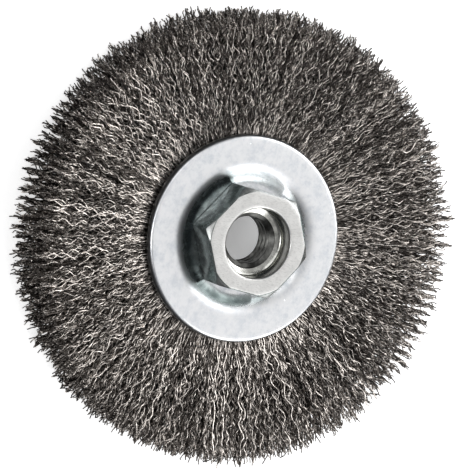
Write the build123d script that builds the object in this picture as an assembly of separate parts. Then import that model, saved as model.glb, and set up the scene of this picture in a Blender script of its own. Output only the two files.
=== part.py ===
from build123d import *
import math
import os

# Crimped wire wheel brush, 115 mm across, that screws onto an M14 spindle.
# Millimetres. The brush lies flat on its rear wires: +Z is its axis and points out of the nut,
# and the origin is on the axis at the level of the lowest wires.

# Driving dimensions of the wire wheel
wheel_diameter = 115.0
trim_width = 20.0
tufts_in_layer = 48
half_waves = 8
crimp_reach = 0.95
tuft_fill = 0.92
tuft_top_share = 0.8
tip_taper = 0.75
longest_tip = 0.6
tip_step = 0.3

# Driving dimensions of the two pressed flanges
flange_ring_width = 8.25
flange_span = 10.9
sheet = 1.2
rim_depth = 2.0
bend_radius = 1.6
dish_bend_radius = 5.0
seat_margin = 0.34
dish_depth = 1.8
dish_wall_angle = 29.0

# Driving dimensions of the arbor nut
nut_across_flats = 25.4
nut_height = 8.85
nut_corner_circle = 26.6
counterbore_diameter = 17.6
counterbore_depth = 5.0
thread_minor_diameter = 11.84
thread_nominal_diameter = 14.0
thread_length = 6.0
collar_wall = 1.4
rolled_edge = 1.3

# Driving dimensions of what the flanges hold
spacer_wall = 2.9
core_ring_width = 2.8
core_ring_height = 3.0
wire_fold_wall = 1.1
wire_grip = 2.7

# Clearances
fit_gap = 0.1
lip_gap = 0.15
fold_gap = 0.2
rim_gap = 0.8

# Levels along the axis
middle = trim_width / 2
ring_face = flange_span / 2
ring_inside = ring_face - sheet
floor_face = ring_face - dish_depth
floor_inside = floor_face - sheet
lip_level = ring_face - rim_depth
nut_seat = middle + floor_face
nut_front = nut_seat + nut_height
counterbore_floor = nut_front - counterbore_depth
rear_floor = middle - floor_face

# Radii
wheel_radius = wheel_diameter / 2
nut_corner_radius = nut_across_flats / 2 / math.cos(math.radians(30))
dish_floor_radius = nut_corner_radius + seat_margin
dish_lip_radius = dish_floor_radius + dish_depth / math.tan(math.radians(dish_wall_angle))
flange_radius = dish_lip_radius + flange_ring_width
thread_radius = thread_minor_diameter / 2
lead_in_radius = thread_nominal_diameter / 2 + fit_gap
relief_radius = counterbore_diameter / 2 + fit_gap
collar_radius = relief_radius + collar_wall
rolled_radius = collar_radius + rolled_edge
flange_hole_radius = collar_radius + fit_gap

# The fan of wires: every tuft spreads from one circle inside the flanges, and passes just under
# the flange lip before it reaches half the trim width at the shoulder of the wheel.
clamp_radius = flange_radius - sheet - rim_gap
root_radius = clamp_radius - wire_grip / 5
longest_reach = wheel_radius + longest_tip
shoulder_radius = longest_reach - (longest_reach - clamp_radius) / half_waves
lip_room = lip_level - lip_gap
half_trim = trim_width / 2
fan_radius = (flange_radius * half_trim - lip_room * shoulder_radius) / (half_trim - lip_room)
fan_slope = half_trim / (shoulder_radius - fan_radius)
middle_share = 0.33
outer_share = 0.37
layer_level = fan_slope * (
    middle_share * (clamp_radius - fan_radius) + outer_share * (root_radius - fan_radius)
) / 2
tuft_pitch = 360 / tufts_in_layer
half_width = tuft_fill * math.radians(tuft_pitch / 2) * shoulder_radius / (
    shoulder_radius - fan_radius
)

# The core ring and the fold round it
fold_outer = clamp_radius - wire_grip
core_outer = fold_outer - fold_gap
core_inner = core_outer - core_ring_width
fold_inner = core_inner - fold_gap
fold_back = fold_inner - wire_fold_wall
fold_top = core_ring_height / 2 + fold_gap


def ring(inner, outer, low, high):
    """A round washer between two levels."""
    disc = Circle(outer) - Circle(inner)
    return Pos(0, 0, low) * extrude(disc, amount=high - low)


def turned(corners):
    """A solid turned round the axis from (radius, level) corners."""
    line = Polyline([(r, 0, z) for r, z in corners], close=True)
    return revolve(make_face(line), Axis.Z)


def pressed_flange():
    """The front flange, as a sheet pressed to a dish, a flat ring and a rim turned in."""
    wall_shift = sheet * math.tan(math.radians(dish_wall_angle / 2))
    section = Polyline(
        (flange_hole_radius, floor_face),
        (dish_floor_radius, floor_face),
        (dish_lip_radius, ring_face),
        (flange_radius, ring_face),
        (flange_radius, lip_level),
        (flange_radius - sheet, lip_level),
        (flange_radius - sheet, ring_inside),
        (dish_lip_radius + wall_shift, ring_inside),
        (dish_floor_radius + wall_shift, floor_inside),
        (flange_hole_radius, floor_inside),
        close=True,
    )
    section = make_face(section)
    bends = [
        (dish_floor_radius, floor_face, bend_radius),
        (dish_lip_radius, ring_face, dish_bend_radius),
        (flange_radius, ring_face, bend_radius),
    ]
    for radius, level, bend in bends:
        corner = section.vertices().sort_by_distance((radius, level, 0))[0]
        section = fillet(corner, bend)
    return Pos(0, 0, middle) * revolve(Plane.XZ * section, Axis.Z)


def arbor_nut():
    """The hexagon, its counterbore and thread bore, and the collar rolled over at the back."""
    hexagon = extrude(RegularPolygon(nut_across_flats / 2, 6, major_radius=False), amount=nut_height)
    hexagon = Pos(0, 0, nut_seat) * Rot(0, 0, 30) * hexagon
    corner_circle = nut_corner_circle / 2
    corner_drop = (nut_across_flats - corner_circle) * math.tan(math.radians(30))
    dome = turned(
        [
            (0, nut_seat),
            (nut_across_flats, nut_seat),
            (nut_across_flats, nut_front - corner_drop),
            (corner_circle, nut_front),
            (0, nut_front),
        ]
    )
    rear_end = rear_floor - rolled_edge
    collar = turned(
        [
            (0, nut_seat),
            (collar_radius, nut_seat),
            (collar_radius, rear_floor),
            (rolled_radius, rear_floor),
            (rolled_radius, rear_floor - rolled_edge * 0.6),
            (rolled_radius - rolled_edge * 0.5, rear_end),
            (0, rear_end),
        ]
    )
    lead = lead_in_radius - thread_radius
    thread_top = counterbore_floor - lead
    thread_end = thread_top - thread_length
    mouth = 0.3
    passage = turned(
        [
            (0, nut_front + 1),
            (counterbore_diameter / 2 + mouth + 1, nut_front + 1),
            (counterbore_diameter / 2, nut_front - mouth),
            (counterbore_diameter / 2, counterbore_floor),
            (lead_in_radius, counterbore_floor),
            (thread_radius, thread_top),
            (thread_radius, thread_end),
            (lead_in_radius, thread_end - lead),
            (relief_radius, thread_end - lead),
            (relief_radius, rear_floor),
            (relief_radius + rolled_edge * 0.7, rear_end - 0.01),
            (0, rear_end - 0.01),
        ]
    )
    return (hexagon & dome) + collar - passage


def spacer_ring():
    """The ring between the floors of the two flanges, round the collar."""
    outer = flange_hole_radius + spacer_wall
    return ring(flange_hole_radius, outer, middle - floor_inside, middle + floor_inside)


def core_ring():
    """The steel ring that the wires are folded round."""
    return ring(core_inner, core_outer, middle - core_ring_height / 2, middle + core_ring_height / 2)


def wire_tuft(section, reach):
    """One crimped tuft along X, as flat faces between sections that grow away from the fan circle."""
    step = (reach - clamp_radius) / half_waves
    stations = [(root_radius, 0.0, 1.0)]
    for i in range(1, half_waves + 1):
        swing = crimp_reach if i % 2 else -crimp_reach
        ease = 0.6 if i == 1 else 1.0
        taper = tip_taper if i == half_waves else 1.0
        stations.append((clamp_radius + i * step, swing * ease, taper))
    loops = []
    for x, swing, taper in stations:
        spread = x - fan_radius
        centre = sum(z for _, z in section) / len(section) * spread
        loops.append(
            [
                Vector(x, swing + y * spread * taper, centre + (z * spread - centre) * taper)
                for y, z in section
            ]
        )
    faces = [Face(Wire.make_polygon(loops[0], close=True)), Face(Wire.make_polygon(loops[-1], close=True))]
    for near, far in zip(loops, loops[1:]):
        for i in range(len(section)):
            j = (i + 1) % len(section)
            faces.append(Face(Wire.make_polygon([near[i], near[j], far[j], far[i]], close=True)))
    return Solid(Shell(faces))


def wire_layer(section, root):
    """A layer of tufts round its clamped root, with eight kinds of tuft in turn, long and short."""
    kinds = 8
    tufts = [wire_tuft(section, longest_reach - i * tip_step) for i in range(kinds)]
    flats = extrude(
        RegularPolygon(clamp_radius, tufts_in_layer, major_radius=False, rotation=tuft_pitch / 2),
        amount=trim_width,
    )
    root = root & Pos(0, 0, -half_trim) * flats
    copies = [tufts[i * 3 % kinds].rotate(Axis.Z, i * tuft_pitch) for i in range(tufts_in_layer)]
    return root.fuse(*copies)


def front_wires():
    """The front layer: its tufts are flat outward, and its root is folded round the core ring."""
    slope = math.tan(math.radians(dish_wall_angle))
    slant_top = dish_lip_radius + sheet
    slant_drop = (slant_top - fold_back) * slope
    root = turned(
        [
            (fold_outer, layer_level),
            (flange_radius, layer_level),
            (flange_radius, ring_inside),
            (slant_top, ring_inside),
            (fold_back, ring_inside - slant_drop),
            (fold_back, 0),
            (fold_inner, 0),
            (fold_inner, fold_top),
            (fold_outer, fold_top),
        ]
    )
    base = outer_share * fan_slope
    top = tuft_top_share * half_width
    section = [(-half_width, base), (half_width, base), (top, fan_slope), (-top, fan_slope)]
    return wire_layer(section, root)


def middle_wires():
    """The middle layer: its tufts have a ridge both ways."""
    root = ring(fold_outer, flange_radius, -layer_level, layer_level)
    half = middle_share * fan_slope
    layer = wire_layer([(-half_width, 0), (0, -half), (half_width, 0), (0, half)], root)
    return Rot(0, 0, tuft_pitch / 2) * layer


os.makedirs("parts", exist_ok=True)

front_flange = pressed_flange()
front = front_wires()
nodes = {
    "arbor_nut": arbor_nut(),
    "front_flange": front_flange,
    "rear_flange": Pos(0, 0, 2 * middle) * Rot(180, 0, 0) * front_flange,
    "spacer_ring": spacer_ring(),
    "core_ring": core_ring(),
    "front_wires": Pos(0, 0, middle) * front,
    "middle_wires": Pos(0, 0, middle) * middle_wires(),
    "rear_wires": Pos(0, 0, middle) * Rot(180, 0, 0) * front,
}
for name, shape in nodes.items():
    export_step(shape, f"parts/{name}.step")
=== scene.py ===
# %% [markdown]
# # A crimped wire wheel brush
#
# The real tool is a bundle of crimped steel wires that is folded round a steel ring and squeezed
# between two pressed zinc-plated flanges. A hexagon nut goes through both flanges and its collar
# is rolled over at the back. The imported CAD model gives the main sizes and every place. This
# script dresses it: it keeps the two rings that the eye never reaches, and makes the wires, the
# flanges and the nut again with the detail that they have on the real tool.

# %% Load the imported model
import math

import bmesh
import bpy
from mathutils import Matrix, Vector


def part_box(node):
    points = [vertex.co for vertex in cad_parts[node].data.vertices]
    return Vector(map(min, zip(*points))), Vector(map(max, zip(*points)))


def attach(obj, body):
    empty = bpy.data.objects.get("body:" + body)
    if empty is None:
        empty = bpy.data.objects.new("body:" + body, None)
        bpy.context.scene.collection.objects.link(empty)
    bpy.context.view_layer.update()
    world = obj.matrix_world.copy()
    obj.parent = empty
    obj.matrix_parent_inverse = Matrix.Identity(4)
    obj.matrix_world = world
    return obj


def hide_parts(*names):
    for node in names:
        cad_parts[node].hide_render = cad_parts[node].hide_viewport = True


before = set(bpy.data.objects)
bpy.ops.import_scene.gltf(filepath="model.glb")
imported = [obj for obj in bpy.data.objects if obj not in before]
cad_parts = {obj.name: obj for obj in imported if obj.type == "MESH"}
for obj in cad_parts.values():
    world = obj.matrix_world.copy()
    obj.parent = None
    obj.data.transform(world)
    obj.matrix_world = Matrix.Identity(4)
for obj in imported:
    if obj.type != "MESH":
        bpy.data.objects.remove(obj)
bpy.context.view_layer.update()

# %% [markdown]
# ## Sizes
#
# Blender works in metres here, and the pieces of a brush are small, so sizes are written in
# millimetres and multiplied by `MM`. Where a CAD node already has a size, it is read from that
# node's box, so that the dressed model can't drift away from the solids. What a box can't tell,
# such as the thickness of the sheet, is written out where it is first needed.

# %% Read the main sizes from the CAD nodes
MM = 0.001
flange_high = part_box("front_flange")[1]
rear_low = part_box("rear_flange")[0]
wires_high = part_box("front_wires")[1]
nut_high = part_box("arbor_nut")[1]
middle = (flange_high.z + rear_low.z) / 2
flange_radius = flange_high.x
ring_face = flange_high.z - middle
rim_depth = 2.0 * MM
lip_level = ring_face - rim_depth
half_trim = wires_high.z - middle
nut_face = nut_high.z
measured = {"middle": middle, "flange radius": flange_radius, "half trim": half_trim, "nut face": nut_face}
print("in mm:", {name: round(value / MM, 3) for name, value in measured.items()})

# %% [markdown]
# ## The camera
#
# The photograph was taken from well in front of the brush, with a long lens. Its angles were
# found by fitting ellipses to the round parts: the axis of the brush leans `lean` away from the
# line of sight, in a direction turned by `roll` in the picture, and `turn` says how the hexagon
# stands. Three directions, right, down and forward, then give the camera's matrix. The brush
# stands `off_right` and `off_down` from the centre of the picture. These two and the distance are
# in millimetres, and they become metres when the camera's place is worked out.

# %% Place the camera
lean, roll, turn = (math.radians(a) for a in (27.0, 19.0, 87.3))
distance, off_right, off_down = 600, 0.44, 0.31
axis = Vector((0, 0, 1))
level = Vector((math.cos(turn), math.sin(turn), 0))
across = axis.cross(level)
tipped = math.sin(lean) * axis + math.cos(lean) * level
right = math.cos(roll) * tipped + math.sin(roll) * across
down = math.sin(roll) * tipped - math.cos(roll) * across
forward = math.sin(lean) * level - math.cos(lean) * axis
camera_data = bpy.data.cameras.new("camera")
camera_data.lens = 181.35
camera_data.sensor_width = 36
camera_data.clip_start = 0.01
camera = bpy.data.objects.new("camera", camera_data)
bpy.context.scene.collection.objects.link(camera)
place = Vector((0, 0, middle)) - (off_right * right + off_down * down + distance * forward) * MM
stance = Matrix((right, -down, -forward)).transposed().to_4x4()
camera.matrix_world = Matrix.Translation(place) @ stance
bpy.context.scene.camera = camera
bpy.context.scene.view_settings.view_transform = "Standard"
print("camera at", [round(c, 4) for c in place])

# %% [markdown]
# ## A shorthand for node trees
#
# Materials and Geometry Nodes are both networks of boxes and wires. Written out in full they are
# long, so two small classes help. A `Socket` can be added, multiplied or compared as if it were a
# number, and each such step adds one Math node. A reflected step is one such as `1 - mask`, where
# the socket stands on the right. Everything else comes from `Graph.add`, which takes the node's
# type, its settings, and then the values or links of its sockets.

# %% Wrap sockets and graphs
def maths(operation, reflected=False):
    """A method that adds one Math node."""
    def method(self, *others):
        values = (*others, self) if reflected else (self, *others)
        return self.graph.add("ShaderNodeMath", {"operation": operation}, dict(enumerate(values)))
    return method


class Socket:
    """An output socket that can be used in sums."""

    def __init__(self, graph, socket):
        self.graph, self.socket = graph, socket

    __add__ = maths("ADD")
    __radd__ = maths("ADD", reflected=True)
    __sub__ = maths("SUBTRACT")
    __rsub__ = maths("SUBTRACT", reflected=True)
    __mul__ = maths("MULTIPLY")
    __rmul__ = maths("MULTIPLY", reflected=True)
    __truediv__ = maths("DIVIDE")
    __rtruediv__ = maths("DIVIDE", reflected=True)
    __pow__ = maths("POWER")
    __lt__ = maths("LESS_THAN")
    __gt__ = maths("GREATER_THAN")
    sin = maths("SINE")
    cos = maths("COSINE")
    abs = maths("ABSOLUTE")
    floor = maths("FLOOR")
    min = maths("MINIMUM")
    max = maths("MAXIMUM")

    def __neg__(self):
        return self * -1.0

    def ramp(self, low, high):
        """0 below low, 1 above high and a smooth rise between."""
        settings = {"interpolation_type": "SMOOTHSTEP"}
        return self.graph.add("ShaderNodeMapRange", settings, {0: self, 1: low, 2: high})

    def other(self, name):
        """Another output of the same node."""
        return Socket(self.graph, find_socket(self.socket.node.outputs, name))


def find_socket(sockets, key):
    """A socket by its place or its name, where a switched-off namesake doesn't count."""
    if isinstance(key, int):
        return sockets[key]
    return next(s for s in sockets if key in (s.name, s.identifier) and s.enabled)


class Graph:
    """A node tree that is written line by line."""

    def __init__(self, tree):
        self.tree = tree

    def add(self, kind, settings=None, sockets=None, out=0):
        """Adds a node and gives one of its outputs, or the node itself where it has none."""
        node = self.tree.nodes.new(kind)
        for name, value in (settings or {}).items():
            if name == "stops":
                self.set_stops(node.color_ramp, value)
            else:
                setattr(node, name, value)
        for key, value in (sockets or {}).items():
            socket = find_socket(node.inputs, key)
            if isinstance(value, Socket):
                self.tree.links.new(value.socket, socket)
            else:
                socket.default_value = value
        return Socket(self, find_socket(node.outputs, out)) if len(node.outputs) else node

    def set_stops(self, color_ramp, stops):
        """Gives a colour ramp its (position, grey or colour) stops."""
        while len(color_ramp.elements) < len(stops):
            color_ramp.elements.new(0.5)
        for element, (position, value) in zip(color_ramp.elements, stops):
            element.position = position
            element.color = (value, value, value, 1) if isinstance(value, float) else (*value, 1)

    def vector(self, x, y, z):
        return self.add("ShaderNodeCombineXYZ", None, {0: x, 1: y, 2: z})

    def parts(self, vector):
        """The x, y and z of a vector, or the three channels of a colour."""
        x = self.add("ShaderNodeSeparateXYZ", None, {0: vector}, "X")
        return x, x.other("Y"), x.other("Z")

    def mix(self, factor, first, second):
        """A colour between two colours."""
        sockets = {"Factor_Float": factor, "A_Color": first, "B_Color": second}
        return self.add("ShaderNodeMix", {"data_type": "RGBA"}, sockets, "Result_Color")

    def noise(self, vector, scale, detail=2.0, roughness=0.5):
        sockets = {"Vector": vector, "Scale": scale, "Detail": detail, "Roughness": roughness}
        return self.add("ShaderNodeTexNoise", None, sockets)


print("sums on sockets are ready")

# %% [markdown]
# ## The studio
#
# Bright metal has no look of its own: it shows the room. In the photograph the flat faces are
# almost white and the slanting wall of the dish is almost black, so the room is bright round one
# direction overhead and dark lower down. A world shader that reads how far each direction lies
# from `overhead` does that. Six round lamps add the glints on the wires and in the dish. The floor
# is plain and pale, and takes the shadow of the brush.

# %% Light the world, softly and from above
world = bpy.data.worlds.new("studio")
bpy.context.scene.world = world
world.use_nodes = True
world.node_tree.nodes.clear()
sky = Graph(world.node_tree)
direction = sky.add("ShaderNodeTexCoord", out="Generated")
overhead = Vector((-0.04, 0.45, 0.89)).normalized()
facing = sky.add(
    "ShaderNodeVectorMath", {"operation": "DOT_PRODUCT"}, {0: direction, 1: overhead}, "Value"
)
night = (0.024, 0.031, 0.043)
stops = [
    (0.0, 0.25),
    (0.40, 0.05),
    (0.70, night),
    (0.85, 0.06),
    (0.91, 0.16),
    (0.94, 0.48),
    (0.97, 0.79),
]
glow = sky.add("ShaderNodeValToRGB", {"stops": stops}, {0: facing * 0.5 + 0.5})
dome = sky.add("ShaderNodeBackground", None, {"Color": glow, "Strength": 1.0})
paper = sky.add("ShaderNodeBackground", None, {"Color": (1, 1, 1, 1), "Strength": 1.0})
seen = sky.add("ShaderNodeLightPath", out="Is Camera Ray")
shown = sky.add("ShaderNodeMixShader", None, {0: seen, 1: dome, 2: paper})
sky.add("ShaderNodeOutputWorld", None, {"Surface": shown})
print(len(world.node_tree.nodes), "nodes in the world")

# %% [markdown]
# Wires and polished bends show small, sharp glints where a lamp mirrors in them, and a plain sky
# gives none. Point lamps would make them too hard, so each lamp is a round area lamp of about a
# metre, two metres away. Its direction was found from where the photograph has its glints.

# %% Hang six soft lamps
lamp_distance = 2.0


def soft_lamp(name, towards, size, power):
    """A round lamp that faces the brush, where size is in metres and power in watts."""
    lamp_data = bpy.data.lights.new(name, "AREA")
    lamp_data.shape = "DISK"
    lamp_data.size = size
    lamp_data.energy = power
    lamp = bpy.data.objects.new(name, lamp_data)
    bpy.context.scene.collection.objects.link(lamp)
    towards = Vector(towards).normalized()
    turned = towards.to_track_quat("Z", "Y").to_matrix().to_4x4()
    lamp.matrix_world = Matrix.Translation(towards * lamp_distance) @ turned
    print(name, "stands at", [round(c, 2) for c in lamp.location])


soft_lamp("right_lamp", (-0.45, 0.72, 0.56), 1.30, 16.5)
soft_lamp("top_lamp", (0.58, 0.60, 0.55), 1.60, 20.0)
soft_lamp("rear_lamp", (0.22, -0.54, 0.81), 0.80, 8.0)
soft_lamp("low_lamp", (-0.74, 0.36, 0.56), 1.10, 4.8)
soft_lamp("side_lamp", (-0.33, 0.93, 0.12), 1.00, 1.0)
soft_lamp("fill_lamp", (-0.35, -0.31, 0.88), 1.20, 5.2)

# %% [markdown]
# The brush lies on white paper that keeps a soft shadow. A white floor alone turns grey where the
# lamps don't reach, so it gets a little light of its own for rays from the camera and for those
# that metal or glass sends on. That light is weaker near the axis, because the paper that shows
# through the bore is grey in the photograph.

# %% Lay the floor
def new_material(name):
    """An empty node material and its graph."""
    material = bpy.data.materials.new(name)
    material.use_nodes = True
    material.node_tree.nodes.clear()
    return material, Graph(material.node_tree)


floor_material, g = new_material("pale_floor")
matte = g.add("ShaderNodeBsdfDiffuse", None, {"Color": (0.92, 0.92, 0.92, 1)})
spot = g.add("ShaderNodeTexCoord", out="Object")
off_axis = g.add("ShaderNodeVectorMath", {"operation": "LENGTH"}, {0: spot}, "Value")
paper_glow = 0.22 + off_axis.ramp(20.0 * MM, 60.0 * MM) * 0.44
ray = g.add("ShaderNodeLightPath", out="Is Camera Ray")
seen = ray.max(ray.other("Is Glossy Ray")).max(ray.other("Is Transmission Ray"))
glow = g.add("ShaderNodeEmission", None, {"Color": paper_glow, "Strength": 1.0})
no_glow = g.add("ShaderNodeEmission", None, {"Color": (0, 0, 0, 1), "Strength": 0.0})
lift = g.add("ShaderNodeMixShader", None, {0: seen, 1: no_glow, 2: glow})
both = g.add("ShaderNodeAddShader", None, {0: matte, 1: lift})
g.add("ShaderNodeOutputMaterial", None, {"Surface": both})

floor_reach = 4.0
floor_drop = 0.1 * MM
corners = [(x * floor_reach, y * floor_reach, 0) for x, y in ((-1, -1), (1, -1), (1, 1), (-1, 1))]
floor_mesh = bpy.data.meshes.new("floor")
floor_mesh.from_pydata(corners, [], [(0, 1, 2, 3)])
floor = bpy.data.objects.new("floor", floor_mesh)
bpy.context.scene.collection.objects.link(floor)
floor.location.z = -floor_drop
floor_mesh.materials.append(floor_material)
print("the floor is", 2 * floor_reach, "m wide")

# %% [markdown]
# ## Finishes
#
# Zinc plating is a bright bluish metal with cloudy patches where the bath and the press left it
# duller. The nut is plain turned steel with a warm satin face, and darker steel on its sides and
# in its thread. The wires are oil-tempered steel: dark, with a brown cast, and each one is a
# little different, so each wire carries a number called `tone` that the wires' own node tree has
# stored on it, and that number also darkens the wire towards its tip as painted shade. Every
# finish is made of noise at the real sizes of its marks, with painted shade on the flanges' rims
# and painted light on one side of the nut besides.

# %% Share what the finishes have in common
def metal(g, color, roughness, normal=None):
    """The metal shader of a finish."""
    sockets = {"Base Color": color, "Roughness": roughness, "Metallic": 1.0}
    if normal:
        sockets["Normal"] = normal
    surface = g.add("ShaderNodeBsdfPrincipled", None, sockets)
    g.add("ShaderNodeOutputMaterial", None, {"Surface": surface})


def bump(g, height, distance, strength=1.0, normal=None):
    """A bump of a height given in metres."""
    sockets = {"Height": height, "Distance": distance, "Strength": strength}
    if normal:
        sockets["Normal"] = normal
    return g.add("ShaderNodeBump", None, sockets)


def shaded_spot(g):
    """The place that is being shaded, in metres from the origin."""
    return g.add("ShaderNodeTexCoord", out="Object")


print("every finish is bare metal")

# %% [markdown]
# The flanges are plated with zinc, which is faintly blue and cloudy. A picture of real zinc could
# be wrapped round them, but noise has no seam and no end. One noise mixes the clouds, one bends
# the sheet a little, and one follows the radius, as the press has drawn the metal. The dish is
# smoother, because the press rubbed it hardest.

# %% Mix the zinc plate
zinc, g = new_material("zinc_plate")
spot = shaded_spot(g)
x, y = g.parts(spot)[:2]
radius = (x * x + y * y) ** 0.5
cloud = g.noise(spot, 420.0, 6.0, 0.68)
patch = g.noise(spot, 55.0, 2.0, 0.5)
smudge = cloud.ramp(0.38, 0.72)
grain = g.noise(spot, 4200.0, 2.0, 0.6)
color = g.mix(smudge, (0.87, 0.878, 0.892, 1), (0.64, 0.667, 0.703, 1))
# Painted shade: the last 0.75 mm of the rim's outer side is made dark, where the wires shade it.
painted_rim_shade = radius.ramp(flange_radius - 0.75 * MM, flange_radius - 0.1 * MM)
color = g.mix(painted_rim_shade, color, (0.20, 0.21, 0.22, 1))
sheet_wave = bump(g, patch, 0.25 * MM, 0.35)
pressed = g.noise(g.vector(radius * 2500.0, 0.0, 0.0), 1.0, 2.0, 0.6)
drawn = bump(g, pressed, 0.012 * MM, 0.25, sheet_wave)
grainy = bump(g, grain, 0.002 * MM, 0.35, drawn)
in_dish = (-radius).ramp(-17.8 * MM, -15.8 * MM)
metal(g, color, 0.30 - in_dish * 0.16 + smudge * 0.07 + (grain - 0.5) * 0.05, grainy)
for name in ("spacer_ring", "core_ring"):
    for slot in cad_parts[name].material_slots:
        slot.material = zinc
print("zinc on the two inner rings")

# %% [markdown]
# The nut's face was turned in a lathe and then ground. Both leave marks, the first round the axis
# and the second across the face. A noise that is read at the radius gives the first, and one that
# is stretched along y gives the second. They are far too fine to be geometry, so they are bumps.

# %% Mix the satin steel of the nut
nut_steel, g = new_material("satin_nut_steel")
spot = shaded_spot(g)
x, y, z = g.parts(spot)
radius = (x * x + y * y) ** 0.5
turned = g.noise(g.vector(radius * 6000.0, z * 6000.0, 0.0), 1.0, 2.0, 0.7)
cloud = g.noise(spot, 300.0, 3.0, 0.6)
color = g.mix(cloud, (0.59, 0.587, 0.575, 1), (0.83, 0.826, 0.81, 1))
ground = g.noise(g.vector(x * 3500.0, y * 1200.0, z * 3500.0), 1.0, 4.0, 0.75)
color = g.mix(ground.ramp(0.46, 0.66) * 0.5, color, (0.42, 0.42, 0.41, 1))
lathe_marks = bump(g, turned, 0.004 * MM, 0.4)
all_marks = bump(g, ground, 0.02 * MM, 0.6, lathe_marks)
metal(g, color, 0.28 + cloud * 0.10 + (ground - 0.5) * 0.12, all_marks)
print(len(nut_steel.node_tree.nodes), "nodes in the nut's steel")

# %% [markdown]
# No tool has faced the nut's sides, so they are darker and a little green, and the thread is
# darker still. The four steels differ only in their two tones and their roughness, so one
# function mixes them all.

# %% Mix the darker steel of the nut's sides and of its thread
def dark_steel(name, dark, pale, rough, painted_light=0.0):
    """A cloudy, darker steel, where painted light can brighten one side of the nut, so that the dish wall
    mirrors a light band beside it.
    """
    material, g = new_material(name)
    spot = shaded_spot(g)
    x, y = g.parts(spot)[:2]
    # Painted light: the side of the nut towards -x is brightened, so that the dish wall beside it mirrors
    # a light band.
    painted_light_side = (-x).ramp(6.0 * MM, 12.0 * MM) * y.ramp(-7.2 * MM, -5.0 * MM)
    cloud = g.noise(spot, 420.0, 4.0, 0.65)
    grain = g.noise(spot, 3500.0, 2.0, 0.6)
    color = g.mix(cloud.ramp(0.35, 0.7), dark, pale)
    color = g.mix(painted_light_side * painted_light, color, (0.8, 0.82, 0.82, 1))
    metal(g, color, rough + cloud * 0.10, bump(g, grain, 0.005 * MM, 0.6))
    return material


# The last number sets how strong the painted light is on that one side of the nut.
nut_side = dark_steel("dark_nut_side", (0.07, 0.088, 0.085, 1), (0.22, 0.26, 0.25, 1), 0.22, 0.5)
chamfer_steel = dark_steel("chamfer_steel", (0.26, 0.27, 0.265, 1), (0.50, 0.51, 0.50, 1), 0.24)
thread_steel = dark_steel("thread_steel", (0.05, 0.05, 0.047, 1), (0.14, 0.14, 0.133, 1), 0.28)
bore_steel = dark_steel("counterbore_steel", (0.42, 0.42, 0.395, 1), (0.70, 0.70, 0.66, 1), 0.16)
print("four darker steels")

# %% [markdown]
# A wire is too thin for a texture to show on it. What shows is that each one is lighter or darker
# than its neighbours, and changes along its length. With a single colour the brush would look
# like fur, so the stored `tone` gives each wire its own shade, darkens it towards the tip as
# painted shade, and a noise stains it.

# %% Mix the dark steel of the wires
wire_steel, g = new_material("crimped_wire_steel")
x, y = g.parts(shaded_spot(g))[:2]
tone = g.add("ShaderNodeAttribute", {"attribute_name": "tone"}, out="Fac")
along = g.vector(x * 800.0, y * 800.0, tone * 60.0)
stain = g.noise(along, 1.0, 2.0, 0.6)
shade = (tone * 0.7 + 0.19 + (stain - 0.5) * 2.2).ramp(0.34, 0.98)
color = g.mix(shade, (0.09, 0.079, 0.071, 1), (1.0, 0.925, 0.86, 1))
metal(g, color, 0.30 + (stain - 0.5) * 0.2)
print(len(wire_steel.node_tree.nodes), "nodes in the wires' steel")

# %% [markdown]
# ## The crimped wires
#
# The real wheel has some thousands of loose wires. Each one leaves the flanges between two
# neighbours, spreads with the fan, and changes sides every 3 mm, because it was crimped between
# toothed rollers. Towards the rim the wires gather in small teeth, whose tips are longest in their
# middle. Nobody places that many by hand: Geometry Nodes take one straight line of points, copy
# it, and then work out for every point of every copy where it goes. The tree has named inputs for
# the sizes and a fixed seed, so it gives the same brush each time. Layers that show get three
# points to a half wave over most of their length, and the layers inside get two.

# %% Build the tree that makes a layer of wires
tree = bpy.data.node_groups.new("crimped_wire_layer", "GeometryNodeTree")
tree.interface.new_socket(name="Geometry", in_out="OUTPUT", socket_type="NodeSocketGeometry")
clear_of_rim = 0.35 * MM
clear_of_side = 0.25 * MM
SIZES = {
    "Wires": 1000,
    "Seed": 1,
    "Points": 21,
    "Fine points": 16,
    "Steps": 2,
    "Inner share": 0.0,
    "Outer share": 1.0,
    "Root radius": 23.6 * MM,
    "Lip radius": flange_radius,
    "Lip half gap": lip_level - clear_of_rim,
    "Shoulder radius": 54.0 * MM,
    "Half trim": half_trim - clear_of_side,
    "Tip radius": 57.9 * MM,
    "Teeth": 150,
    "Half wave": 3.0 * MM,
    "Crimp": 0.78 * MM,
    "Wire radius": 0.18 * MM,
}
for name, value in SIZES.items():
    kind = "NodeSocketInt" if isinstance(value, int) else "NodeSocketFloat"
    socket = tree.interface.new_socket(name=name, in_out="INPUT", socket_type=kind)
    socket.default_value = value
g = Graph(tree)
given = g.add("NodeGroupInput")
size = {name: given.other(name) for name in SIZES}
print(len(SIZES), "named inputs")

# %% Copy one line of points and number the copies
line = g.add("GeometryNodeCurvePrimitiveLine", None, {"Start": (0, 0, 0), "End": (30.0 * MM, 0, 0)})
line = g.add("GeometryNodeResampleCurve", {"mode": "COUNT"}, {"Curve": line, "Count": size["Points"]})
copies = g.add(
    "GeometryNodeDuplicateElements", {"domain": "SPLINE"}, {"Geometry": line, "Amount": size["Wires"]}
)
wire = copies.other("Duplicate Index")
point = g.add("GeometryNodeSplineParameter", out="Index")
draws_in_layer = 40


def chance(number, low=0.0, high=1.0, who=wire):
    """A random number for each wire, tooth or point, where number tells the draws apart."""
    seed = size["Seed"] * draws_in_layer + number
    sockets = {"Min_001": low, "Max_001": high, "ID": who, "Seed": seed}
    return g.add("FunctionNodeRandomValue", {"data_type": "FLOAT"}, sockets, "Value_001")


print("each wire has its own random numbers")

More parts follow.
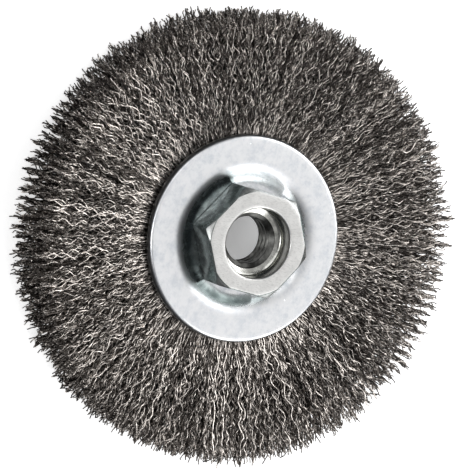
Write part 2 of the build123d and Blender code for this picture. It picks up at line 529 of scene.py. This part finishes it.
# %% [markdown]
# Every wire has an angle round the axis, a share of the height of the brush, and a length. The
# tips gather in small teeth, because the wires hook into each other. Teeth could be cut out of
# the finished bundle, but that would chop wires off, so each wire is told which tooth it belongs
# to and how far it stands off the middle of that tooth.

# %% Give each wire its place in the layer and in a tooth
rim_circle = 57.0
free_length = 30.0 * MM
side_pull = 2.4 * MM
face_pull = 1.7 * MM
tip_drop = 1.4 * MM
tooth_drop = 4.0 * MM
tooth_wander = 1.1


def between(low, high, share):
    """A value between two others, by share."""
    return low + (high - low) * share


share = between(size["Inner share"], size["Outer share"], chance(1) ** 0.6)
angle = (wire + chance(2)) * (2 * math.pi) / size["Wires"]
around = g.vector(angle.cos() * rim_circle, angle.sin() * rim_circle, share * 4.0)
pull = g.add("ShaderNodeTexNoise", None, {"Vector": around, "Scale": 0.32, "Detail": 1.5}, "Color")
pull_side, pull_face, pull_tooth = g.parts(pull)
slant = chance(7, -0.11, 0.11)
carried = slant * free_length + (pull_side - 0.5) * side_pull
tip_angle = angle + carried / (rim_circle * MM)
turn_in_teeth = tip_angle * size["Teeth"] / (2 * math.pi) + pull_tooth * tooth_wander
tooth = turn_in_teeth.floor()
off_tooth = turn_in_teeth - tooth - 0.5
tip = size["Tip radius"] + chance(4, -0.6 * MM, 0.4 * MM) - (share.abs() ** 5) * tip_drop
tip = tip + chance(14, -1.3 * MM, 1.0 * MM, tooth) - off_tooth.abs() * tooth_drop
print(len(tree.nodes), "nodes so far")

# %% [markdown]
# The points of a wire are counted from its tip, so that the crimp ends at a different place on
# each one. Near the tip they stand close together, where the eye sees the wave, and near the
# flanges they lie further apart, which saves faces.

# %% Step inwards from the tip, point by point
inner_step = 0.4 * MM
inward = size["Points"] - 1.0 - point
fine_part = (inward.min(size["Fine points"]) + 0.5) / size["Steps"]
coarse_part = (inward - size["Fine points"]).max(0.0)
phase = fine_part + coarse_part
at_tip = inward < 0.5
cut = chance(3, 0.0, 0.42)
phase = phase + at_tip * cut
radius = tip - (phase - (cut + 0.25)) * size["Half wave"] * chance(17, 0.92, 1.05)
innermost = size["Root radius"] + point * inner_step
radius = between(size["Root radius"], radius.max(innermost), point > 0.5)
away = radius - size["Lip radius"]
spread = (away / (size["Shoulder radius"] - size["Lip radius"])).max(0.0).min(1.0)
limit = between(size["Lip half gap"], size["Half trim"], spread)
print(len(tree.nodes), "nodes so far")

# %% [markdown]
# The crimp is a sine wave along the wire. The plane it lies in is turned differently on each
# wire, because the wires roll as they are folded, and it fades out under the flange, where the
# wires are held.

# %% Swing from side to side, as the crimp does
wave_gain = 0.3
begins = chance(16, -0.7, 0.7) + math.pi * (chance(19) > 0.5)
wave = (phase * math.pi + begins).sin() * (1.0 + (size["Steps"] < 2.5) * wave_gain)
ease = radius.ramp(24.5 * MM, 31.0 * MM)
swing = wave * size["Crimp"] * ease * chance(5, 0.65, 1.25)
twist = chance(6, -1.5, 1.5) + point * chance(13, -0.06, 0.06)
sideways = swing * twist.cos() + away.max(0.0) * slant
axial = swing * twist.sin() + away.max(0.0) * chance(8, -0.08, 0.05) * share
print(len(tree.nodes), "nodes so far")

# %% [markdown]
# With random numbers alone every wire would lean its own way, like static. A smooth noise that is
# read at the wire's place gives neighbours nearly the same lean, so they run in locks.

# %% Let neighbours lean together, as tufts do
per_millimetre = 1000.0
tooth_squeeze = 0.9
drift_side = 1.0 * MM
drift_face = 4.4 * MM
loose = radius.ramp(28.0 * MM, 60.0 * MM)
sideways = sideways + (pull_side - 0.5) * loose * side_pull
axial = axial + (pull_face - 0.5) * loose * face_pull
at_end = radius.ramp(50.0 * MM, rim_circle * MM)
sideways = sideways - swing * at_end * 0.6
sideways = sideways - off_tooth * at_end * radius * (tooth_squeeze * 2 * math.pi) / size["Teeth"]
drift_x = angle.cos() * radius * per_millimetre
drift_y = angle.sin() * radius * per_millimetre
drift = g.vector(drift_x, drift_y, share * 9.0 + chance(15, 0.0, 3.0))
drift = g.add("ShaderNodeTexNoise", None, {"Vector": drift, "Scale": 0.5, "Detail": 1.0}, "Color")
drifts = g.parts(drift)
sideways = sideways + (drifts[0] - 0.5) * loose * drift_side
axial = axial + (drifts[1] - 0.5) * radius.ramp(26.0 * MM, 40.0 * MM) * drift_face
print(len(tree.nodes), "nodes so far")

# %% Shake each point a little, and keep the layer inside its trim
ids_for_wire = 37
shake = 0.12 * MM
shake_along = 0.14 * MM
each = wire * ids_for_wire + point
sideways = sideways + chance(9, -shake, shake, each) * ease
axial = axial + chance(10, -shake, shake, each) * ease
radius = radius + chance(11, -shake_along, shake_along, each) * ease * (1.0 - at_tip)
room = size["Crimp"] * twist.sin().abs() * 0.6
gathered = between(size["Inner share"], size["Outer share"], chance(18, 0.4, 1.0, tooth))
level = between(share, gathered, at_end * 0.4)
height = (level * (limit - room * ease) + axial).min(limit).max(-limit)
print(len(tree.nodes), "nodes so far")

# %% [markdown]
# A curve has no surface, so a small outline is swept along each one. Three sides are enough for a
# wire as thin as this, and a round one would cost far more faces. The tree ends with real geometry
# and a material, because an export keeps no instances.

# %% Give the wires their thickness, their tone and their steel
position = g.vector(
    radius * angle.cos() - sideways * angle.sin(),
    radius * angle.sin() + sideways * angle.cos(),
    height + middle,
)
bent = g.add("GeometryNodeSetPosition", None, {"Geometry": copies, "Position": position})
# Painted shade: each wire is made darker over its last few millimetres, from 53 mm out to 57.5 mm.
tone = chance(12) - radius.ramp(53.0 * MM, 57.5 * MM) * 0.35
toned = g.add(
    "GeometryNodeStoreNamedAttribute",
    {"data_type": "FLOAT", "domain": "POINT"},
    {"Geometry": bent, "Name": "tone", "Value": tone},
)
outline = g.add("GeometryNodeCurvePrimitiveCircle", None, {"Resolution": 3, "Radius": size["Wire radius"]})
tubes = g.add(
    "GeometryNodeCurveToMesh", None, {"Curve": toned, "Profile Curve": outline, "Fill Caps": True}
)
smooth = g.add("GeometryNodeSetShadeSmooth", None, {"Geometry": tubes, "Shade Smooth": True})
real = g.add("GeometryNodeRealizeInstances", None, {"Geometry": smooth})
steel = g.add("GeometryNodeSetMaterial", None, {"Geometry": real, "Material": wire_steel})
g.add("NodeGroupOutput", None, {"Geometry": steel})
print(len(tree.nodes), "nodes in the wire tree")

# %% [markdown]
# The eight layers run from the rear face of the brush to the front. Each is worked out once and
# kept as a plain mesh, and it takes the place of the CAD tufts at its height.

# %% Grow the layers
def plain_mesh(name, tree, values):
    """The result of a node tree as a plain mesh object."""
    holder = bpy.data.objects.new(name + "_holder", bpy.data.meshes.new(name + "_seed"))
    bpy.context.scene.collection.objects.link(holder)
    modifier = holder.modifiers.new("nodes", "NODES")
    modifier.node_group = tree
    for item in tree.interface.items_tree:
        if item.in_out == "INPUT" and item.name in values:
            modifier[item.identifier] = values[item.name]
    graph = bpy.context.evaluated_depsgraph_get()
    mesh = bpy.data.meshes.new_from_object(holder.evaluated_get(graph), depsgraph=graph)
    holder.modifiers.clear()
    bpy.data.objects.remove(holder)
    mesh.name = name
    piece = bpy.data.objects.new(name, mesh)
    bpy.context.scene.collection.objects.link(piece)
    return piece


def count_triangles(piece):
    """How many triangles the faces of a piece make."""
    return sum(len(p.vertices) - 2 for p in piece.data.polygons)


smooth_wave = {"Points": 30, "Fine points": 25, "Steps": 3}
layers = [
    ("rear_face_wires", "rear_wires", 1000, -0.78, -1.0, smooth_wave),
    ("rear_outer_wires", "rear_wires", 800, -0.62, -0.92, smooth_wave),
    ("rear_inner_wires", "rear_wires", 1100, -0.33, -0.66, {}),
    ("middle_rear_wires", "middle_wires", 1000, 0.0, -0.35, {}),
    ("middle_front_wires", "middle_wires", 1000, 0.0, 0.35, {}),
    ("front_inner_wires", "front_wires", 1100, 0.33, 0.66, {}),
    ("front_outer_wires", "front_wires", 800, 0.62, 0.92, smooth_wave),
    ("front_face_wires", "front_wires", 1000, 0.78, 1.0, smooth_wave),
]
total = 0
for seed, (name, node, wires, inner, outer, finer) in enumerate(layers, 1):
    values = {**SIZES, **finer}
    values.update({"Wires": wires, "Seed": seed, "Inner share": inner, "Outer share": outer})
    piece = plain_mesh(name, tree, values)
    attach(piece, "root")
    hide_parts(node)
    total += count_triangles(piece)
print("wires:", total, "triangles")

# %% [markdown]
# ## The two flanges
#
# Each flange is a disc of 1.2 mm sheet that a press has given a shallow dish, a flat ring and a
# rim turned in over the wires. A press can't make a sharp corner, so the section is drawn as a
# few corners, each with the radius of its bend, and that line is spun round the axis. A cylinder
# with bevelled edges could do too, but it would give every edge the same bend. The bend where the
# dish begins is wide, and it is what draws the soft dark edge of the dish.

# %% Draw a section whose corners are bends
straight = math.radians(89)
merge_distance = 0.002 * MM
sliver = 0.001 * MM
sharp_angle = math.radians(28)


def bent_section(corners, steps=8):
    """Points along a closed (radius, level) line, where each corner is (r, z, bend radius)."""
    points = []
    count = len(corners)
    for index in range(count):
        here = Vector(corners[index][:2])
        to_last = (Vector(corners[index - 1][:2]) - here).normalized()
        to_next = (Vector(corners[(index + 1) % count][:2]) - here).normalized()
        half = to_last.angle(to_next) / 2
        bend = corners[index][2]
        if bend <= 0 or half > straight:
            points.append(tuple(here))
            continue
        centre = here + (to_last + to_next).normalized() * bend / math.sin(half)
        start = here + to_last * bend / math.tan(half) - centre
        end = here + to_next * bend / math.tan(half) - centre
        sweep = math.pi - 2 * half
        if start.x * end.y - start.y * end.x < 0:
            sweep = -sweep
        for step in range(steps + 1):
            a = sweep * step / steps
            across = start.x * math.cos(a) - start.y * math.sin(a)
            up = start.x * math.sin(a) + start.y * math.cos(a)
            points.append((centre.x + across, centre.y + up))
    return points


def lofted(name, rings, material, bands=()):
    """A closed piece from rings of points that are joined one to the next, and the last to the first.
    A band is (first ring, last ring, material) where the finish differs."""
    mesh = bmesh.new()
    loops = [[mesh.verts.new(p) for p in ring] for ring in rings]
    for index, loop in enumerate(loops):
        following = loops[(index + 1) % len(loops)]
        finish = next((n + 1 for n, band in enumerate(bands) if band[0] <= index < band[1]), 0)
        for k in range(len(loop)):
            j = (k + 1) % len(loop)
            mesh.faces.new((loop[k], loop[j], following[j], following[k])).material_index = finish
    bmesh.ops.remove_doubles(mesh, verts=mesh.verts, dist=merge_distance)
    bmesh.ops.dissolve_degenerate(mesh, edges=mesh.edges, dist=sliver)
    bmesh.ops.recalc_face_normals(mesh, faces=mesh.faces)
    data = bpy.data.meshes.new(name)
    mesh.to_mesh(data)
    mesh.free()
    for finish in (material, *(band[2] for band in bands)):
        data.materials.append(finish)
    data.shade_smooth()
    data.set_sharp_from_angle(angle=sharp_angle)
    piece = bpy.data.objects.new(name, data)
    bpy.context.scene.collection.objects.link(piece)
    return piece


def spun(name, section, columns, material):
    """A section spun round the axis of the brush."""
    turns = [2 * math.pi * k / columns for k in range(columns)]
    rings = [[(r * math.cos(a), r * math.sin(a), z) for a in turns] for r, z in section]
    return lofted(name, rings, material)


print("edges sharper than", round(math.degrees(sharp_angle)), "degrees stay sharp")

# %% Press the flanges
sheet = 1.2 * MM
hole_radius = 10.4 * MM
floor_radius = 15.0 * MM
dish_radius = 18.25 * MM
flat_start, flat_end = 20.8 * MM, 24.6 * MM
dish_depth = 1.8 * MM
dish_floor = ring_face - dish_depth
wall_angle = math.radians(29)
shift = sheet * math.tan(wall_angle / 2)
floor_bend, dish_bend = 4.8 * MM, 8.0 * MM
rim_bend, inner_rim_bend = 1.1 * MM, 0.4 * MM
hole_edge, rim_edge = 0.15 * MM, 0.25 * MM


def flange_section(side):
    """The section of one flange; side is 1 for the front flange and -1 for the rear."""
    corners = [
        (hole_radius, dish_floor, hole_edge),
        (floor_radius, dish_floor, floor_bend),
        (dish_radius, ring_face, dish_bend),
        (flat_start, ring_face, 0),
        (flat_end, ring_face, 0),
        (flange_radius, ring_face, rim_bend),
        (flange_radius, lip_level, rim_edge),
        (flange_radius - sheet, lip_level, rim_edge),
        (flange_radius - sheet, ring_face - sheet, inner_rim_bend),
        (dish_radius + shift, ring_face - sheet, dish_bend - sheet),
        (floor_radius + shift, dish_floor - sheet, floor_bend + sheet),
        (hole_radius, dish_floor - sheet, hole_edge),
    ]
    return [(r, middle + side * z) for r, z in bent_section(corners)]


flange_columns = 180
front_flange = spun("front_flange_pressing", flange_section(1), flange_columns, zinc)
rear_flange = spun("rear_flange_pressing", flange_section(-1), flange_columns, zinc)
print("each flange has", len(front_flange.data.polygons), "faces")

# %% [markdown]
# The wires are one long bundle on the real tool. It is folded round the core ring, and the flanges
# squeeze it there until it is as solid as a washer. Nothing shows of that root once the brush is
# together, so it isn't drawn wire by wire: three rings fill the place that the bundle has.

# %% Fill the clamped root of the wires
fold_back, fold_inner, fold_outer = 17.5 * MM, 18.6 * MM, 21.8 * MM
root_outer, root_top = 24.4 * MM, 4.05 * MM
slant_radius, slant_level = 19.5 * MM, 2.9 * MM
layer_level, fold_level, seam = 0.96 * MM, 1.7 * MM, 0.02 * MM
root_columns = 120
folded_root = [
    (fold_outer, layer_level + seam),
    (root_outer, layer_level + seam),
    (root_outer, root_top),
    (slant_radius, root_top),
    (fold_back, slant_level),
    (fold_back, seam),
    (fold_inner, seam),
    (fold_inner, fold_level),
    (fold_outer, fold_level),
]
middle_root = [
    (fold_outer, -layer_level),
    (root_outer, -layer_level),
    (root_outer, layer_level),
    (fold_outer, layer_level),
]
roots = [
    ("front_wire_root", "front_wires", folded_root),
    ("middle_wire_root", "middle_wires", middle_root),
    ("rear_wire_root", "rear_wires", [(r, -z) for r, z in folded_root]),
]
for name, node, section in roots:
    piece = spun(name, [(r, middle + z) for r, z in section], root_columns, wire_steel)
    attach(piece, "root")
    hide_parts(node)
    print(name, count_triangles(piece), "triangles")

# %% [markdown]
# The front flange has three tiny marks from a centre punch, and `punch_marks` holds their places
# in millimetres. A bump could darken those spots, but a punch mark is a real hollow and the light
# should find it, so each is cut with a small ball, as a boolean difference.

# %% Punch the three marks
def cut_away(piece, tool):
    """Cuts the tool's shape out of the piece, then throws the tool away."""
    modifier = piece.modifiers.new("cut", "BOOLEAN")
    modifier.operation = "DIFFERENCE"
    modifier.solver = "EXACT"
    modifier.object = tool
    graph = bpy.context.evaluated_depsgraph_get()
    result = bpy.data.meshes.new_from_object(piece.evaluated_get(graph), depsgraph=graph)
    piece.modifiers.clear()
    piece.data = result
    bpy.data.objects.remove(tool)


punch_marks = [(-23.4, -6.3), (-12.3, 21.0), (12.1, 15.6)]
ball_radius = 0.45 * MM
ball_level = middle + ring_face + 0.36 * MM
balls = bmesh.new()
for x, y in punch_marks:
    spot = Matrix.Translation(Vector((x * MM, y * MM, ball_level)))
    bmesh.ops.create_icosphere(balls, subdivisions=3, radius=ball_radius, matrix=spot)
punch_mesh = bpy.data.meshes.new("punch")
balls.to_mesh(punch_mesh)
balls.free()
punch = bpy.data.objects.new("punch", punch_mesh)
bpy.context.scene.collection.objects.link(punch)
cut_away(front_flange, punch)
front_flange.data.set_sharp_from_angle(angle=sharp_angle)
print("punched flange:", count_triangles(front_flange), "triangles")
for piece, node in ((front_flange, "front_flange"), (rear_flange, "rear_flange")):
    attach(piece, "root")
    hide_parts(node)

# %% [markdown]
# ## The arbor nut
#
# The nut is one turned and milled piece: a hexagon with its corners turned off at 30 degrees, a
# counterbore, an M14 x 2 thread and a collar rolled over at the back. All of it can be described
# as rings of points, one above the other: on a hexagon ring the radius depends on the angle, and
# on a thread ring it depends on angle and height together, which is what makes a helix. A thread
# could be cut with a boolean instead, but the rings give one closed mesh with even faces.

# %% Shape the hexagon and the thread
flat_radius = 12.7 * MM
corner_rounding = 0.45 * MM
chamfer_circle = 13.3 * MM
half_side, whole_side = math.radians(30), math.radians(60)
chamfer_slope = math.tan(math.radians(30))
nut_height = 8.85 * MM
counterbore_depth = 5.0 * MM
seat_level = nut_face - nut_height
counterbore_floor = nut_face - counterbore_depth
pitch = 2.0 * MM
minor_radius, major_radius, mouth_radius = 5.92 * MM, 7.0 * MM, 7.1 * MM
half_crest, flank = 0.125, 0.3125
thread_in = counterbore_floor - 0.35 * MM
thread_out = counterbore_floor - 8.36 * MM


def hexagon_radius(angle):
    """How far the hexagon reaches at an angle. Its flats face 0, 60, 120 degrees and so on."""
    off_corner = (angle - half_side) % whole_side
    off_corner = min(off_corner, whole_side - off_corner)
    centre = (flat_radius - corner_rounding) / math.cos(half_side)
    across_y = corner_rounding * math.sin(half_side)
    across_x = centre + corner_rounding * math.cos(half_side)
    if off_corner < math.atan2(across_y, across_x):
        inside = corner_rounding**2 - (centre * math.sin(off_corner)) ** 2
        return centre * math.cos(off_corner) + math.sqrt(inside)
    return flat_radius / math.cos(half_side - off_corner)


def thread_radius(angle, z):
    """The wall of the threaded hole: a ridge that climbs one pitch in each turn."""
    phase = (z / pitch - angle / (2 * math.pi)) % 1.0
    off_ridge = min(phase, 1.0 - phase)
    rise = min(max((off_ridge - half_crest) / flank, 0.0), 1.0)
    wall = minor_radius + (major_radius - minor_radius) * rise
    lead_in = mouth_radius - (thread_in - z) * 2.0
    lead_out = mouth_radius - (z - thread_out)
    return max(wall, lead_in, lead_out)


print("corner radius in mm:", round(hexagon_radius(half_side) / MM, 3))

# %% Write down the round stretches of the nut
# Radii and levels in millimetres: above the counterbore's floor, below the face, and above the
# origin for the collar.
counterbore_path = [(7.15, -0.22), (7.9, -0.02), (8.35, 0.10), (8.62, 0.26), (8.76, 0.52), (8.8, 0.9)]
lip_path = [(8.8, 0.4), (8.85, 0.28), (9.12, 0.03), (9.2, 0.0), (10.0, 0.0), (11.0, 0.0), (12.0, 0.0)]
collar_path = [(10.3, 13.65), (10.3, 6.45), (10.45, 6.36), (11.2, 6.33)]
collar_path += [(11.5, 6.2), (11.6, 5.95), (11.55, 5.65), (11.35, 5.35), (11.0, 5.15)]
collar_path += [(10.5, 5.07), (10.0, 5.1), (9.6, 5.3), (9.25, 5.7), (9.0, 6.3), (8.9, 6.9)]
collar_path += [(8.9, 9.0), (8.8, 9.14), (7.2, 9.14)]
print(len(collar_path), "points round the rolled collar")

# %% Build the nut ring by ring
nut_columns = 168
thread_rings = 68
angles = [2 * math.pi * k / nut_columns for k in range(nut_columns)]


def shaped_ring(shape):
    """A ring of points, where shape gives the radius and the level at an angle."""
    points = []
    for a in angles:
        radius, z = shape(a)
        points.append((radius * math.cos(a), radius * math.sin(a), z))
    return points


def face_edge(inset, sink):
    """A ring near the edge of the face: the hexagon, cut off by the chamfer circle."""
    return shaped_ring(lambda a: (min(hexagon_radius(a), chamfer_circle) - inset, nut_face - sink))


def side(level):
    """A ring on the six sides."""
    return shaped_ring(lambda a: (hexagon_radius(a), level))


def side_top(sink):
    """A ring near the top of the sides, which the chamfer pulls down at each corner."""
    def shape(a):
        beyond = max(hexagon_radius(a) - chamfer_circle, 0.0)
        return hexagon_radius(a), nut_face - sink - beyond * chamfer_slope
    return shaped_ring(shape)


rings = []
for step in range(thread_rings):
    z = thread_out + (thread_in - thread_out) * step / (thread_rings - 1)
    rings.append(shaped_ring(lambda a: (thread_radius(a, z), z)))
thread_end = len(rings)
for r, up in counterbore_path:
    rings.append(shaped_ring(lambda a: (r * MM, counterbore_floor + up * MM)))
bore_end = len(rings) + 1
for r, down in lip_path:
    rings.append(shaped_ring(lambda a: (r * MM, nut_face - down * MM)))
edge_start = len(rings)
rings += [face_edge(0.24 * MM, 0.0), face_edge(0.05 * MM, 0.05 * MM)]
side_start = len(rings)
rings += [side_top(0.16 * MM), side_top(0.5 * MM)]
rings += [side(seat_level + 4.0 * MM), side(seat_level + 0.25 * MM)]
side_end = len(rings)
rings.append(shaped_ring(lambda a: (hexagon_radius(a) - 0.2 * MM, seat_level)))
for r, z in collar_path:
    rings.append(shaped_ring(lambda a: (r * MM, z * MM)))
bands = [
    (0, thread_end, thread_steel),
    (thread_end, bore_end, bore_steel),
    (edge_start, edge_start + 1, nut_side),
    (edge_start + 1, side_start, chamfer_steel),
    (side_start, side_end, nut_side),
]
nut = lofted("arbor_nut_turned", rings, nut_steel, bands)
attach(nut, "root")
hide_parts("arbor_nut")
print("nut:", count_triangles(nut), "triangles")
